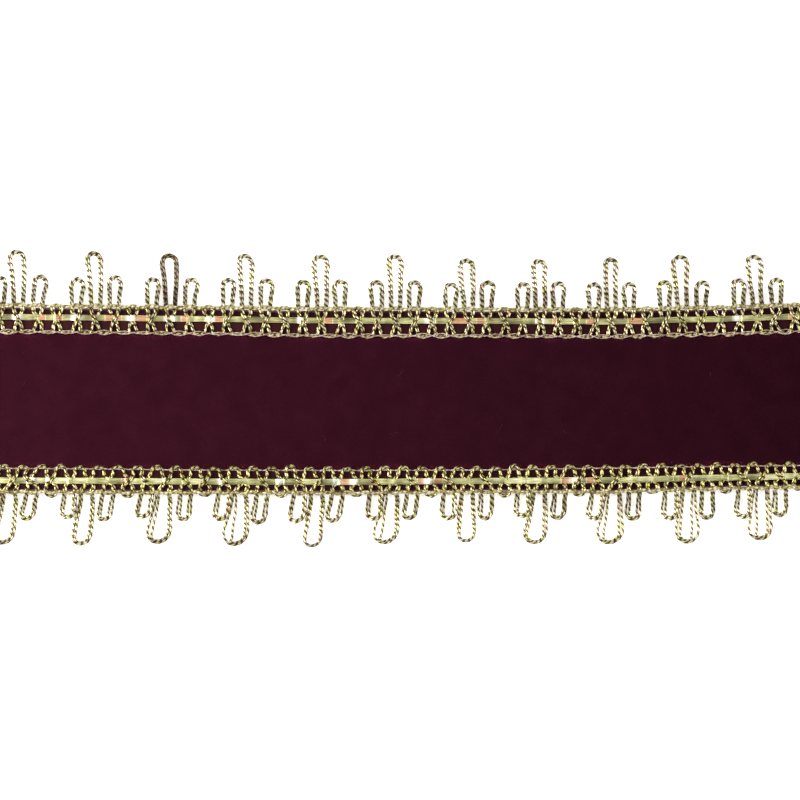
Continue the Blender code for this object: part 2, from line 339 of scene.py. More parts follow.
# %% Helpers for materials
def colour(code):
    """Linear red, green, blue and alpha from a code such as #3a1420. Each channel is
    divided by 12.92 when dark, and otherwise raised to the power 2.4."""
    parts = np.array([int(code[i : i + 2], 16) / 255 for i in (1, 3, 5)])
    linear = np.where(parts <= 0.04045, parts / 12.92, ((parts + 0.055) / 1.055) ** 2.4)
    return (*linear.tolist(), 1.0)


def add_node(tree, kind, values=(), links=(), **properties):
    """A node with its properties, socket values and incoming links."""
    node = tree.nodes.new(kind)
    for name, value in properties.items():
        setattr(node, name, value)
    for name, value in dict(values).items():
        node.inputs[name].default_value = value
    for name, source in dict(links).items():
        tree.links.new(source, node.inputs[name])
    return node


def new_material(name, values):
    """A node material with these values on its Principled shader, its node tree and
    that shader."""
    material = bpy.data.materials.new(name)
    material.use_nodes = True
    shader = material.node_tree.nodes["Principled BSDF"]
    for socket, value in values.items():
        shader.inputs[socket].default_value = value
    return material, material.node_tree, shader


def object_place(tree):
    """The place of each point in its object, in metres."""
    return add_node(tree, "ShaderNodeTexCoord").outputs["Object"]


def stored(tree, name):
    """The number that a mesh stores under this name for each of its points."""
    return add_node(tree, "ShaderNodeAttribute", attribute_name=name).outputs["Fac"]


def noise(tree, scale, detail=2.0, place=None):
    """Soft random patches, about as many to the metre as the scale says."""
    place = object_place(tree) if place is None else place
    values = {"Scale": scale, "Detail": detail}
    return add_node(tree, "ShaderNodeTexNoise", values, {"Vector": place}).outputs["Fac"]


def ramp(tree, factor, *stops):
    """The colour at a factor between stops, each a position and a code."""
    node = add_node(tree, "ShaderNodeValToRGB", links={"Fac": factor})
    elements = node.color_ramp.elements
    while len(elements) < len(stops):
        elements.new(0.5)
    for element, (position, code) in zip(elements, stops):
        element.position = position
        element.color = colour(code)
    return node.outputs["Color"]


def toward(tree, base, code, share):
    """A colour moved by a share of the way towards another."""
    links = {0: share, 6: base}
    return add_node(tree, "ShaderNodeMix", {7: colour(code)}, links, data_type="RGBA").outputs[2]


def tinted(tree, base, *tints):
    """A colour multiplied by each of the tints in turn."""
    for tint in tints:
        links = {6: base, 7: tint}
        mix = add_node(tree, "ShaderNodeMix", {0: 1.0}, links, data_type="RGBA", blend_type="MULTIPLY")
        base = mix.outputs[2]
    return base


def product(tree, first, second):
    """Two numbers multiplied."""
    return add_node(tree, "ShaderNodeMath", links={0: first, 1: second}, operation="MULTIPLY").outputs[0]


def add_relief(tree, shader, height, strength):
    """Tilts the surface as if it rose by up to 0.1 mm with the height."""
    values = {"Strength": strength, "Distance": 0.1 * MM}
    relief = add_node(tree, "ShaderNodeBump", values, {"Height": height})
    tree.links.new(relief.outputs["Normal"], shader.inputs["Normal"])


# %% [markdown]
# ## Velvet
#
# Velvet is a woven ribbon with a short dense pile. The pile swallows most light, so
# seen from above it is nearly black-red and very even. There is a faint mottle where
# tufts lean apart, in clumps of about 4 mm and tufts of 0.4 mm. Under the braids the
# pile is crushed, and a painted shade makes it darker and greyer there, as in the
# braids' shadow. Just beside them the pile is pushed up, and a painted sheen makes it
# redder, as where raised pile catches the light. The very edge of the ribbon is a
# pale selvedge, and a painted shade darkens the pile steadily towards the right, as
# its sheen fades. Four numbers on the sheet's points say where: the two painted
# shades, the painted sheen and the selvedge. They are worked out from the braids'
# lines, the ribbon's edges and the place along X.

# %% Velvet material
CLUMPS_SCALE = 250.0
TUFTS_SCALE = 2600.0


def make_velvet():
    """The mean of two noises picks the red. The four stored numbers change it."""
    finish = {"Roughness": 1.0, "Specular IOR Level": 0.05}
    finish.update({"Sheen Weight": 0.06, "Sheen Roughness": 0.5, "Sheen Tint": colour("#b04a66")})
    material, tree, shader = new_material("pile_velvet_burgundy", finish)
    clumps, tufts = noise(tree, CLUMPS_SCALE, 3.0), noise(tree, TUFTS_SCALE)
    both = add_node(tree, "ShaderNodeMix", {0: 0.5}, {2: clumps, 3: tufts}, data_type="FLOAT").outputs[0]
    highest = {"From Min": 0.5, "From Max": 0.8, "To Max": 0.8}
    tips = add_node(tree, "ShaderNodeMapRange", highest, {"Value": both}).outputs[0]
    shade = ramp(tree, both, (0.3, "#350e1c"), (0.5, "#3c1220"), (0.7, "#431625"))
    # Painted sheen: the raised pile beside the braids is made redder, as if it caught the light.
    shade = toward(tree, shade, "#7a2440", product(tree, stored(tree, "ruffled_sheen"), tips))
    # Painted shade: the crushed pile under the braids is darkened and greyed, as if in their shadow.
    shade = toward(tree, shade, "#462326", stored(tree, "pressed_shade"))
    shade = toward(tree, shade, "#927a80", stored(tree, "selvedge"))
    # Painted shade: the pile darkens steadily towards the right, as its sheen fades.
    shade = tinted(tree, shade, ramp(tree, stored(tree, "nap_shade"), (0.0, "#fdfdff"), (1.0, "#bdb0c0")))
    tree.links.new(shade, shader.inputs["Base Color"])
    add_relief(tree, shader, tufts, 0.5)
    return material


WEAVE_SCALE = 1 / (6.0 * MM)


def make_woven_back():
    """The ribbon's plain woven back: a wave along X for the weft, times a wave along Y
    for the warp. A wave's length is two pi over 20 times the scale, here 1.9 mm."""
    material, tree, shader = new_material("woven_rayon_back", {"Roughness": 0.6})
    values, links = {"Scale": WEAVE_SCALE}, {"Vector": object_place(tree)}
    waves = [add_node(tree, "ShaderNodeTexWave", values, links, bands_direction=axis) for axis in "XY"]
    weave = product(tree, *[wave.outputs["Fac"] for wave in waves])
    shade = ramp(tree, weave, (0.0, "#3a1220"), (1.0, "#6d2a3e"))
    tree.links.new(shade, shader.inputs["Base Color"])
    add_relief(tree, shader, weave, 0.6)
    return material


velvet = make_velvet()
woven_back = make_woven_back()
print("materials:", velvet.name, woven_back.name)

# %% [markdown]
# ## The ribbon
#
# The ribbon is one thin closed sheet. Its section, a ring of points, is carried along
# X: a flat woven underside, short straight edges, and a pile top that is rounded at
# the edges and pressed down under each braid. The ring's points keep their share of
# the width, so the edges can follow the bow and the small unevenness of the real cut.

# %% Ribbon
EDGE_WANDER = 0.08
PILE_ROUND = 0.35
PRESS_DEPTH = 0.16
CLUMP_HEIGHT = 0.02
SELVEDGE = 0.4
SELVEDGE_SHARE = 0.8
RIBBON_STATIONS = 361
TOP_POINTS = 97


def ribbon_edge(edge, x):
    """Distance of the velvet's edge from the middle: the outer chain's line less a
    small inset, which wanders with two slow waves."""
    wander = np.sin(x / 7.3 + edge["seed"]) + 0.6 * np.sin(x / 3.1 + 2 * edge["seed"])
    return chain_line(edge, "outer", x) - edge["inset"] - EDGE_WANDER * wander


def past_inner_chain(x, y):
    """How far a point lies past the nearer inner chain, positive under the heading."""
    return np.maximum(y - chain_line(FAR, "inner", x), -y - chain_line(NEAR, "inner", x))


def pile_height(x, y, far, near):
    """Top of the pile: level, down at both edges as a quarter round, pressed by a
    smooth trough under each heading, with faint clumps from crossed slow waves."""
    edge_gap = np.minimum(far - y, y + near)
    dip = PILE_ROUND * (1 - np.sqrt(1 - (1 - np.clip(edge_gap / PILE_ROUND, 0, 1)) ** 2))
    press = smooth_step((past_inner_chain(x, y) + 0.9) / 0.8)
    clumps = np.sin(x / 1.9 + 1.3 * np.sin(y / 2.7)) * np.sin(y / 2.1 + 1.1 * np.sin(x / 3.3))
    clumps += 0.5 * np.sin(x / 0.7 + 2 * np.sin(y / 1.1)) * np.sin(y / 0.8 + x / 5.0)
    return PILE_TOP - dip - PRESS_DEPTH * press + CLUMP_HEIGHT * clumps


def make_ribbon():
    """The closed section at each station. Its top points lie half way between even
    and cosine spacing, so they are denser at the edges, and every fourth one has a
    partner on the underside. The painted shade under a braid rises over 0.5 mm at the
    inner chain, the painted sheen beside it is a bell curve 0.75 mm before it, the
    selvedge fades over its last 0.12 mm, and the painted shade to the right grows
    evenly along X."""
    x = np.linspace(-LENGTH / 2, LENGTH / 2, RIBBON_STATIONS)[:, None]
    far, near = ribbon_edge(FAR, x), ribbon_edge(NEAR, x)
    share = (1 - np.cos(np.linspace(0, math.pi, TOP_POINTS))) / 2
    share = 0.5 * share + 0.5 * np.linspace(0, 1, TOP_POINTS)
    top_y = -near + (far + near) * share[None, :]
    top_z = pile_height(x, top_y, far, near)
    under_y = top_y[:, ::-4]
    under_z = np.zeros_like(under_y)
    y = np.concatenate([top_y, under_y], axis=1)
    z = np.concatenate([top_z, under_z], axis=1)
    points = np.stack([np.broadcast_to(x, y.shape), y, z], axis=-1)
    faces = ring_faces(*y.shape)
    piece = add_mesh("velvet_sheet", points, [face[::-1] for face in faces], velvet)
    piece.data.materials.append(woven_back)
    corners = piece.data.vertices
    heights = np.array([sum(corners[i].co.z for i in face.vertices) for face in piece.data.polygons])
    piece.data.polygons.foreach_set("material_index", (heights < 1e-6).astype(np.int32))
    depth = past_inner_chain(x, y)
    to_edge = np.minimum(far - y, y + near)
    # Painted shade under the braids, from the inner chain inwards.
    add_attribute(piece, "pressed_shade", smooth_step((depth + 0.3) / 0.5))
    # Painted sheen in a band just before the inner chain.
    add_attribute(piece, "ruffled_sheen", np.exp(-(((depth + 0.75) / 0.4) ** 2)))
    add_attribute(piece, "selvedge", SELVEDGE_SHARE * smooth_step((SELVEDGE - to_edge) / 0.12))
    # Painted shade, growing evenly from left to right.
    add_attribute(piece, "nap_shade", np.broadcast_to(0.5 + x / LENGTH, y.shape))
    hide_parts("velvet_ribbon")
    return piece


ribbon = make_ribbon()
print("ribbon:", triangles(ribbon), "triangles")

# %% [markdown]
# ## The path of the cord pair
#
# The pair is never cut. For each element it comes up from its turn on the velvet,
# crosses the heading to the right, stands out as a loop, and crosses back to the
# left of the next turn. At the crossing one leg lies over the tape and the other
# under it, and they change places from one element to the next. At about a third of
# the crossings both lie under it.

# %% Path of the pair
TURN_Z = 1.45
UNDER_Z = 1.42
BOTH_UNDER_Z = 1.52
OVER_Z = 2.12
ROOT_Z = 1.66
FLOOR_Z = 0.3
PROPPED_Z = 1.2
BUMP_DROOP = 0.25
PAIR_SPREAD = 0.96
LEAN_POWER = 1.2
WANDER = 0.05
TURN_INSIDE = 0.15
CROSSING_SPREAD = 0.18
TURN_ROLLS = (0.6, 1.2)
SHORT_TIP_ROLL = 0.35
LOOP_ROLL = 0.15
BULGES = [0.6, 0.8, 1.0, 1.0, 1.2, 1.8]
ARC_POINTS = ((-0.6, 0.75), (0.0, 1.0), (0.6, 0.75))


def loop_points(edge, number, middle, random):
    """Rows (x, past the chain, z, parting) round one loop from its right root to its
    left. The legs open in a straight line from the root to a half-circle tip, the
    whole leans along X with the 1.2 power of the height, and the pair slopes down
    from the chain to the surface. A tall loop can have a share of its lean at the
    root. The inner cord parts from the outer one steadily up the leg, and runs
    straight on until it meets it again at the tip."""
    kind = number % ELEMENTS_PER_GROUP
    if kind == BUMP:
        turn = np.linspace(0.0, math.pi, 5)
        out = (edge["bump"] * random.uniform(0.8, 1.15) - PAIR_SPREAD / 2) * np.sin(turn)
        x = middle + (edge["bump_width"] - PAIR_SPREAD) / 2 * np.cos(turn)
        return np.stack([x, out, ROOT_Z - BUMP_DROOP * np.sin(turn), 0 * turn], axis=1)
    row = round(number / ELEMENTS_PER_GROUP)
    group = {name: column[row] for name, column in edge["groups"].items()}
    lean, reach, width = group["lean"], group["reach"], group["width"]
    partings = group["part_right"], group["part_left"]
    if kind != TALL:
        name = "right" if kind == RIGHT else "left"
        lean, reach, width = group[name + "_lean"], group[name + "_reach"], edge[name + "_width"]
        partings = random.uniform(0.0, edge["loose"], 2)
    height = reach - PAIR_SPREAD / 2
    half_width = (width - PAIR_SPREAD) / 2
    straight = height - half_width
    body = np.linspace(0.0, 1.0, 5 if kind == TALL else 3)
    turn = np.linspace(0.0, math.pi / 2, 4)[1:]
    gap = edge["root_gap"]
    half = np.concatenate([gap + (half_width - gap) * body, half_width * np.cos(turn)])
    out = np.concatenate([straight * body, straight + half_width * np.sin(turn)])
    opened = np.clip(out / straight, 0, 1)
    closing = np.where(out > straight, half_width - half, 0.0)
    part = [np.maximum(parting * opened - closing, 0.0) for parting in partings]
    part = np.concatenate([-part[0], part[1][-2::-1]])
    half = np.concatenate([half, -half[-2::-1]])
    out = np.concatenate([out, out[-2::-1]])
    at_root = edge["root_lean"] if kind == TALL else 0.0
    x = middle + half + lean * (at_root + (1 - at_root) * (out / height) ** LEAN_POWER)
    x[1:-1] += random.normal(0.0, WANDER, len(x) - 2)
    rest = np.full_like(out, FLOOR_Z)
    if kind == LEFT and edge["side"] < 0:
        rest = FLOOR_Z + (PROPPED_Z - FLOOR_Z) * np.clip(1.0 + half / half_width, 0.0, 1.0)
    drop = edge["drop"] if kind == TALL else straight
    z = ROOT_Z + (rest - ROOT_Z) * smooth_step(out / drop)
    return np.stack([x, out, z, part], axis=1)


def leg_points(edge, middle, side, shift, height, turn):
    """Rows (x, y, z, parting, roll) of one leg, from the turn on the velvet past the
    tape to the root. The leg with side 1 starts left of the middle and ends right of
    it, and the one with side -1 is its mirror image."""
    inner, outer = chain_line(edge, "inner", middle), chain_line(edge, "outer", middle)
    tape = inner + (outer - inner) * edge["tape"]
    roll = turn * edge["leg_roll"]
    halfway = middle - side * edge["halfway"] * edge["inner_gap"] + shift
    return [
        (middle - side * edge["inner_gap"], inner + TURN_INSIDE, TURN_Z, 0.0, turn),
        (halfway, (inner + tape) / 2, (TURN_Z + height) / 2, side * edge["fan"], roll),
        (middle + side * edge["at_tape"] + shift, tape, height, 0.0, 0.0),
        (middle + side * edge["past_tape"], (outer + tape) / 2, (ROOT_Z + height) / 2, 0.0, roll),
    ]


def pair_path(edge):
    """Rows (x, y, z, parting, roll) along the whole braid. The parting is how far the
    inner cord moves in x. The roll is how far the pair is turned about its path:
    fully at each turn on the velvet, by a share of that in the legs, hardly in the
    loops, and again at their tips. Every element shifts a little at the tape."""
    random = np.random.default_rng(edge["seed"])
    numbers, middles = element_places(edge)
    rows = []
    for index, (number, middle) in enumerate(zip(numbers, middles)):
        over = OVER_Z if random.random() < edge["over"] else BOTH_UNDER_Z
        first, second = (over, UNDER_Z) if number % 2 else (UNDER_Z, over)
        shift, turn = random.normal(0.0, CROSSING_SPREAD), edge["roll"] * random.uniform(*TURN_ROLLS)
        loop = loop_points(edge, number, middle, random)
        opened = smooth_step(2 * loop[:, 1] / loop[:, 1].max() - 0.6)
        if number % ELEMENTS_PER_GROUP == TALL:
            tip_roll = edge["groups"]["tip_roll"][number // ELEMENTS_PER_GROUP]
        else:
            tip_roll = random.normal(0.0, SHORT_TIP_ROLL)
        loop[:, 1] += chain_line(edge, "outer", middle)
        roll = tip_roll * opened + random.normal(0.0, LOOP_ROLL, len(loop))
        rows += leg_points(edge, middle, 1.0, shift, first, turn)
        rows.extend(np.column_stack([loop, roll]))
        rows += leg_points(edge, middle, -1.0, shift, second, turn)[::-1]
        if index < len(middles) - 1:
            arc = (middle + middles[index + 1]) / 2
            half_gap = arc - middle - edge["inner_gap"]
            inner, bulge = chain_line(edge, "inner", middle), edge["bulge"] * random.choice(BULGES)
            for along, depth in ARC_POINTS:
                rows.append((arc + along * half_gap, inner - depth * bulge, TURN_Z, 0.0, turn))
    path = np.array(rows)
    path[:, 1] *= edge["side"]
    return path


print("the pair's path has", len(pair_path(FAR)), "points on each edge")

# %% [markdown]
# ## Gilt cord
#
# The cord is two yarns twisted together. One is metallised and shines cream to pale
# gold. The other is a dark olive brown core yarn, which shows as one slanting stripe
# in each turn. The mesh knows which side is which, so a stored number, the crest,
# drives the colour. It also paints light and shade over the yarns' own colours: a
# painted highlight along the middle of the pale yarn, and painted shade deepening the
# stripe in the hollow between the yarns. A noise with patches of about 2 mm turns
# some beads towards lime or copper, as thin metal film does, and a slower one makes
# whole stretches of 8 mm duller, where the film has rubbed thin. Two more numbers say
# how much gold is painted on, and where the film is gone and the cord is brown. In the
# heading that gold is a painted reflection of the cords and velvet round them, and in
# the loops a warmer tint.

# %% Cord material
WHITE = "#ffffff"


def make_gilt_cord():
    """The crest picks the shade, and four tints multiply it."""
    material, tree, shader = new_material("twisted_metallised_yarn", {"Metallic": 0.5, "Roughness": 0.22})
    crest, patches, stretches = stored(tree, "crest"), noise(tree, 500.0, 1.0), noise(tree, 120.0, 1.0)
    shade = tinted(
        tree,
        # Painted highlight at the pale yarn's middle and painted shade at the dark stripe, over the yarns'
        # own colours.
        ramp(tree, crest, (0.12, "#4e401e"), (0.3, "#82744a"), (0.45, "#cfc8a8"), (0.78, "#fdf9e8")),
        ramp(tree, patches, (0.3, "#eeeea6"), (0.42, "#fffff2"), (0.62, "#fff8f2"), (0.74, "#ffe2c8")),
        ramp(tree, stretches, (0.34, "#d8d2ca"), (0.5, WHITE)),
        # Painted reflection: more gold in the heading, as the cords reflect each other and the velvet.
        ramp(tree, stored(tree, "gold_tint_and_reflection"), (0.0, WHITE), (1.0, "#f3ecb2")),
        ramp(tree, stored(tree, "bare"), (0.0, WHITE), (1.0, "#a6988a")),
    )
    tree.links.new(shade, shader.inputs["Base Color"])
    return material


gilt_cord = make_gilt_cord()

# %% [markdown]
# ## The cords
#
# Two cords lie side by side along the path, each 0.54 mm thick, with a turn about
# every 1.28 mm. The rings do not turn with the yarns. Their points stay in place, and
# the swelling and the stripe move round them, which keeps every face nearly flat. The
# outside cord is twisted a little more slackly than the inside one, so their beads
# fall in and out of step.

# %% Cords
RING_STEP = 0.16
LAY = 1.28
CORD_RADIUS = 0.27
CORD_SIDES = 8
SWELLING = 0.1
CREST_UNEVEN = 0.17
PAIR_HALF = 0.235
LOWEST_Z = 0.01
CORDS = (("outside", 0.0, 1.03), ("inside", 2.7, 0.96))


def twisted_cord(name, path, place, radius, start, slack):
    """A tube round its path. The pale yarn's side grows from its start by a full turn
    for each lay. The lay is longer where the cord is slack, and changes by up to a
    fifth from place to place. The crest is half of one plus the cosine of the angle
    from the pale yarn's middle, 1 there and 0 in the middle of the dark one, with a
    small random part. The radius swells over both yarns by a tenth of the cosine of
    twice that angle."""
    lay = LAY * slack * (1 + 0.1 * np.sin(place / 9.0) + 0.12 * np.sin(place / 2.9 + start))
    twist = start + np.concatenate([[0.0], np.cumsum(2 * math.pi * np.diff(place) / lay[1:])])
    angle = ring_angles(CORD_SIDES)
    from_pale = angle - twist[:, None]
    points = tube(path, radius * (1 + SWELLING * np.cos(2 * from_pale)), angle)
    points[..., 2] = np.maximum(points[..., 2], LOWEST_Z)
    piece = add_mesh(name, points, ring_faces(*points.shape[:2]), gilt_cord)
    uneven = np.random.default_rng(len(place)).normal(0.0, CREST_UNEVEN, from_pale.shape)
    add_attribute(piece, "crest", (1 + np.cos(from_pale)) / 2 + uneven)
    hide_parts(name.split("_")[0] + "_braid")
    return piece


def make_cords(edge):
    """Both cords of one braid, each half the pair's width to one side of its path, as
    the roll turns it. Only the cord inside a loop moves away where the pair parts.
    Both are pulled thinner in the heading, and there they get a painted reflection
    that makes them more gold. The change to the loops is eased over a millimetre, from
    0.3 mm before the outer chain's line."""
    rows, place = smooth_curve(pair_path(edge), RING_STEP)
    path, parting, roll = rows[:, :3], rows[:, 3:4], rows[:, 4:5]
    past = path[:, 1:2] * edge["side"] - chain_line(edge, "outer", path[:, 0:1])
    out = smooth_step(past + 0.3)
    radius = CORD_RADIUS * (edge["tight"] + (1 - edge["tight"]) * out)
    # Painted reflection in the heading, easing to a warmer tint in the loops.
    gold_tint_and_reflection = edge["gold_tint_and_reflection"] + (edge["warm"] - edge["gold_tint_and_reflection"]) * out
    centre, half_width = edge["bare"]
    bare = out * (np.abs(path[:, 0:1] - centre) < half_width)
    right, up = directions(path)
    outside = (right * np.cos(roll) + up * np.sin(roll)) * edge["side"]
    paths = path + outside * PAIR_HALF, path - outside * PAIR_HALF + parting * np.array([1.0, 0.0, 0.0])
    for cord_path, (which, start, slack) in zip(paths, CORDS):
        cord = twisted_cord(f"{edge['name']}_cord_{which}", cord_path, place, radius, start, slack)
        add_attribute(cord, "gold_tint_and_reflection", np.broadcast_to(gold_tint_and_reflection, (len(path), CORD_SIDES)))
        add_attribute(cord, "bare", np.broadcast_to(bare, (len(path), CORD_SIDES)))
        print(cord.name, triangles(cord), "triangles,", round(place[-1]), "mm along")


for edge in (FAR, NEAR):
    make_cords(edge)

# %% [markdown]
# ## Binding threads
#
# Thin pale threads chain the cords together. Along the velvet two of them cross at
# each element and open like a lens round each turn of the cords. Along the outside
# they are thicker, and they cross at every leg, over and under it. The inner ones are
# rayon, not metal, so they stay pale where the gilt cords turn dark. The outer ones
# are a softly twisted gilt yarn.

# %% Binding threads
THREAD_STEP = 0.2
THREAD_SIDES = 6
THREAD_LAY = 1.0
THREAD_END = 0.3


def make_thread(name, stops, groove_shade, metallic):
    """A soft thread whose colour changes in patches of about a millimetre, and which
    is darkened between its two twisted strands by a painted shade, of the colour given for that hollow."""
    material, tree, shader = new_material(name, {"Metallic": metallic, "Roughness": 0.45})
    shade = ramp(tree, noise(tree, 900.0), *stops)
    # Painted shade in the hollow between the thread's twisted strands.
    ply_shade = ramp(tree, stored(tree, "crest"), (0.1, groove_shade), (0.5, WHITE))
    tree.links.new(tinted(tree, shade, ply_shade), shader.inputs["Base Color"])
    return material


pale_rayon = make_thread(
    "pale_rayon_thread", [(0.32, "#9c826a"), (0.48, "#d2b89c"), (0.64, "#f4e4d0")], "#c8b09a", 0.0
)
gilt_thread = make_thread(
    "soft_gilt_thread", [(0.32, "#8a7c46"), (0.48, "#d0c284"), (0.62, "#fff8d0")], "#b4a87e", 0.25
)


def make_chain(edge, which, material, radius, sway, shift, climb, waves, phase, base, lift):
    """Two threads along a chain line, shifted outwards. Their sway across is a sine of
    the element's number, in opposite directions, and their height its cosine, so they
    pass over and under each other. Both also climb towards the velvet between two
    elements. A thread's crest goes once round it in each lay, as half of one plus a
    cosine."""
    numbers, middles = element_places(edge)
    end = LENGTH / 2 - THREAD_END
    x = np.linspace(-end, end, int(2 * end / THREAD_STEP))
    count = np.interp(x, middles, numbers)
    past = (x - middles[-1]) / (middles[-1] - middles[-2])
    before = (x - middles[0]) / (middles[1] - middles[0])
    count = np.where(past > 0, numbers[-1] + past, np.where(before < 0, numbers[0] + before, count))
    wave = 2 * math.pi * waves * (count - phase)
    uneven = 1 + 0.3 * np.sin(x / 2.9 + edge["seed"]) + 0.2 * np.sin(x / 0.83)
    line = chain_line(edge, which, x) + shift + climb * (0.2 + np.cos(2 * math.pi * count))
    angle = ring_angles(THREAD_SIDES)
    crest = (1 + np.cos(angle - 2 * math.pi * x[:, None] / THREAD_LAY)) / 2
    both = []
    for turn in (1.0, -1.0):
        y = edge["side"] * (line + turn * sway * uneven * np.sin(wave))
        z = base + turn * lift * np.cos(wave)
        both.append(tube(np.stack([x, y, z], axis=1), radius, angle))
    faces = ring_faces(*both[0].shape[:2])
    second = [[i + both[0][..., 0].size for i in face] for face in faces]
    piece = add_mesh(f"{edge['name']}_chain_{which}", np.stack(both), faces + second, material)
    add_attribute(piece, "crest", np.stack([crest, crest]))
    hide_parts(edge["name"] + "_braid")
    return piece


for edge in (FAR, NEAR):
    inner_chain = make_chain(
        edge, "inner", pale_rayon, radius=edge["inner_radius"], sway=edge["lens"], shift=0.0,
        climb=edge["climb"], waves=0.5, phase=0.0, base=edge["inner_z"], lift=0.1,
    )
    outer_chain = make_chain(
        edge, "outer", gilt_thread, radius=0.25, sway=0.16, shift=edge["chain_shift"],
        climb=0.14, waves=1, phase=0.25, base=1.85, lift=0.2,
    )
    print(edge["name"], "chains:", triangles(inner_chain) + triangles(outer_chain), "triangles")

# %% [markdown]
# ## Flat tape
#
# The tape is a strip of metallised polyester film, 1.2 mm wide. It is stiff, so
# between two crossings it is nearly flat, and each stretch catches the light at its
# own angle. That is why one is lime, the next grey and the next almost white, with
# short copper facets between them. Two stored numbers say so: a tint for each
# stretch or facet, and a shine where a fold glints. Fine streaks run along it.

# %% Tape
TAPE_STEP = 0.12
TAPE_SOFTNESS = 5
TAPE_THICKNESS = 0.07
TAPE_Z = 1.77
TAPE_CREASE = 0.35
TAPE_ROLL = 0.045
TAPE_CROWN = 0.03
TAPE_END = 0.4
RIDGE_HEIGHT = 0.07
GLINT_HEIGHT = 0.08
GLINT_SHARE = 0.2
GLINT_FADE = 1.3
FACET_LENGTH = 1.8
COPPER_TINT = 0.88
TAPE_ACROSS = 5
FILM_TINTS = (
    (0.0, "#9a9468"), (0.25, "#b4b07c"), (0.5, "#d4d292"),
    (0.7, "#f2eeb8"), (0.82, "#dcae84"), (1.0, "#d29c78"),
)


def make_metallised_film():
    """The tint picks the colour, streaks drawn out along X darken it, and the shine
    lightens it."""
    material, tree, shader = new_material("metallised_film_tape", {"Metallic": 1.0, "Roughness": 0.36})
    drawn_out = {"Scale": (0.08, 1.0, 1.0)}
    place = add_node(tree, "ShaderNodeMapping", drawn_out, {"Vector": object_place(tree)}).outputs[0]
    streaks = ramp(tree, noise(tree, 5000.0, 2.0, place), (0.3, "#b0b0a0"), (0.6, WHITE))
    worn = tinted(tree, ramp(tree, stored(tree, "tint"), *FILM_TINTS), streaks)
    tree.links.new(toward(tree, worn, "#fffcec", stored(tree, "shine")), shader.inputs["Base Color"])
    return material


metallised_film = make_metallised_film()


def softened(values):
    """Each value becomes the mean of its neighbours, weighted by a bell of cosines."""
    bell = np.hanning(TAPE_SOFTNESS + 2)[1:-1]
    padded = np.pad(values, TAPE_SOFTNESS // 2, mode="edge")
    return np.convolve(padded, bell / bell.sum(), mode="valid")


def make_tape(edge):
    """A strip through the crossings. Each stretch between two crossings has its own
    roll, height and tint, drawn at random, and some facets along it are copper. At a
    crossing the strip climbs over the leg under it, from a foot on each side up a
    short slope to a flat ridge. Some of these folds are higher and glint, more of
    them towards the left, and each glint fades along X as a bell curve. The folds are
    softened, as the film bends with a small radius."""
    random = np.random.default_rng(edge["seed"] + 5)
    middles = element_places(edge)[1]
    many = len(middles)
    end = LENGTH / 2 - TAPE_END
    x = np.linspace(-end, end, int(2 * end / TAPE_STEP))
    glint = random.random(many) < GLINT_SHARE * (1.0 - GLINT_FADE * middles / LENGTH)
    ridge = np.abs(random.normal(0.0, RIDGE_HEIGHT, many)) + GLINT_HEIGHT * glint
    slope = random.uniform(0.16, 0.34, (2, many)) + np.array([[0.4], [0.0]]) * glint
    foot = TAPE_CREASE + random.uniform(0.0, 0.25, (2, many))
    corners = middles + np.stack([-foot[0] - slope[0], -foot[0], foot[1], foot[1] + slope[1]])
    heights = np.stack([0 * ridge, ridge, ridge, 0 * ridge])
    order = np.argsort(corners, axis=None)
    rise = np.interp(x, corners.ravel()[order], heights.ravel()[order])
    centres = middles[glint] + random.uniform(-0.9, 0.3, glint.sum())
    reach = random.uniform(0.35, 1.1, len(centres))
    shine = np.exp(-(((x[:, None] - centres) / reach) ** 2)).max(axis=1)
    stretch = np.searchsorted(middles, x)
    roll = random.normal(0.0, TAPE_ROLL, many + 1)[stretch]
    lift = random.uniform(-0.03, 0.03, many + 1)[stretch] + rise
    tint = random.uniform(*edge["tints"], many + 1)[stretch] + 0.14 * np.sin(x / 0.6 + 2.0 * np.sin(x / 1.7))
    facet = ((x + end) / FACET_LENGTH).astype(int)
    copper = random.random(facet[-1] + 1) < edge["copper"]
    tint = np.where(copper[facet], COPPER_TINT, np.clip(tint, 0.0, 0.7))
    roll, lift, tint = softened(roll), softened(lift), softened(tint)
    outer, inner = chain_line(edge, "outer", x), chain_line(edge, "inner", x)
    centre = inner + (outer - inner) * edge["tape"]
    share = np.linspace(-1, 1, TAPE_ACROSS)
    half_width = edge["tape_width"] / 2 * (1 + 0.04 * np.sin(x / 1.3 + edge["seed"]))
    y = centre[:, None] + share * half_width[:, None]
    z = TAPE_Z + lift[:, None] + roll[:, None] * share + TAPE_CROWN * (1 - share**2)
    ring_y = np.concatenate([y, y[:, ::-1]], axis=1) * edge["side"]
    ring_z = np.concatenate([z, z[:, ::-1] - TAPE_THICKNESS], axis=1)
    points = np.stack([np.broadcast_to(x[:, None], ring_y.shape), ring_y, ring_z], axis=-1)
    faces = ring_faces(*ring_y.shape)
    if edge["side"] > 0:
        faces = [face[::-1] for face in faces]
    piece = add_mesh(f"{edge['name']}_tape_strip", points, faces, metallised_film, smooth=False)
    add_attribute(piece, "tint", np.broadcast_to(tint[:, None], ring_y.shape))
    add_attribute(piece, "shine", np.broadcast_to(shine[:, None], ring_y.shape))
    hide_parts(edge["name"] + "_tape")
    return piece


for edge in (FAR, NEAR):
    tape = make_tape(edge)
    print(tape.name, triangles(tape), "triangles")

# %% [markdown]
# ## Loose fibres
#
# Three kinds of fine fibre soften the edges between the materials. Tufts of red pile
# stick up beside the inner chains, where sewing has ruffled the velvet. A few pale
# lint hairs lie on the pile, and a few filaments of the gilt cord have worked loose
# at the outer chain. Each fibre is a thin three-sided spike with a bend in it.

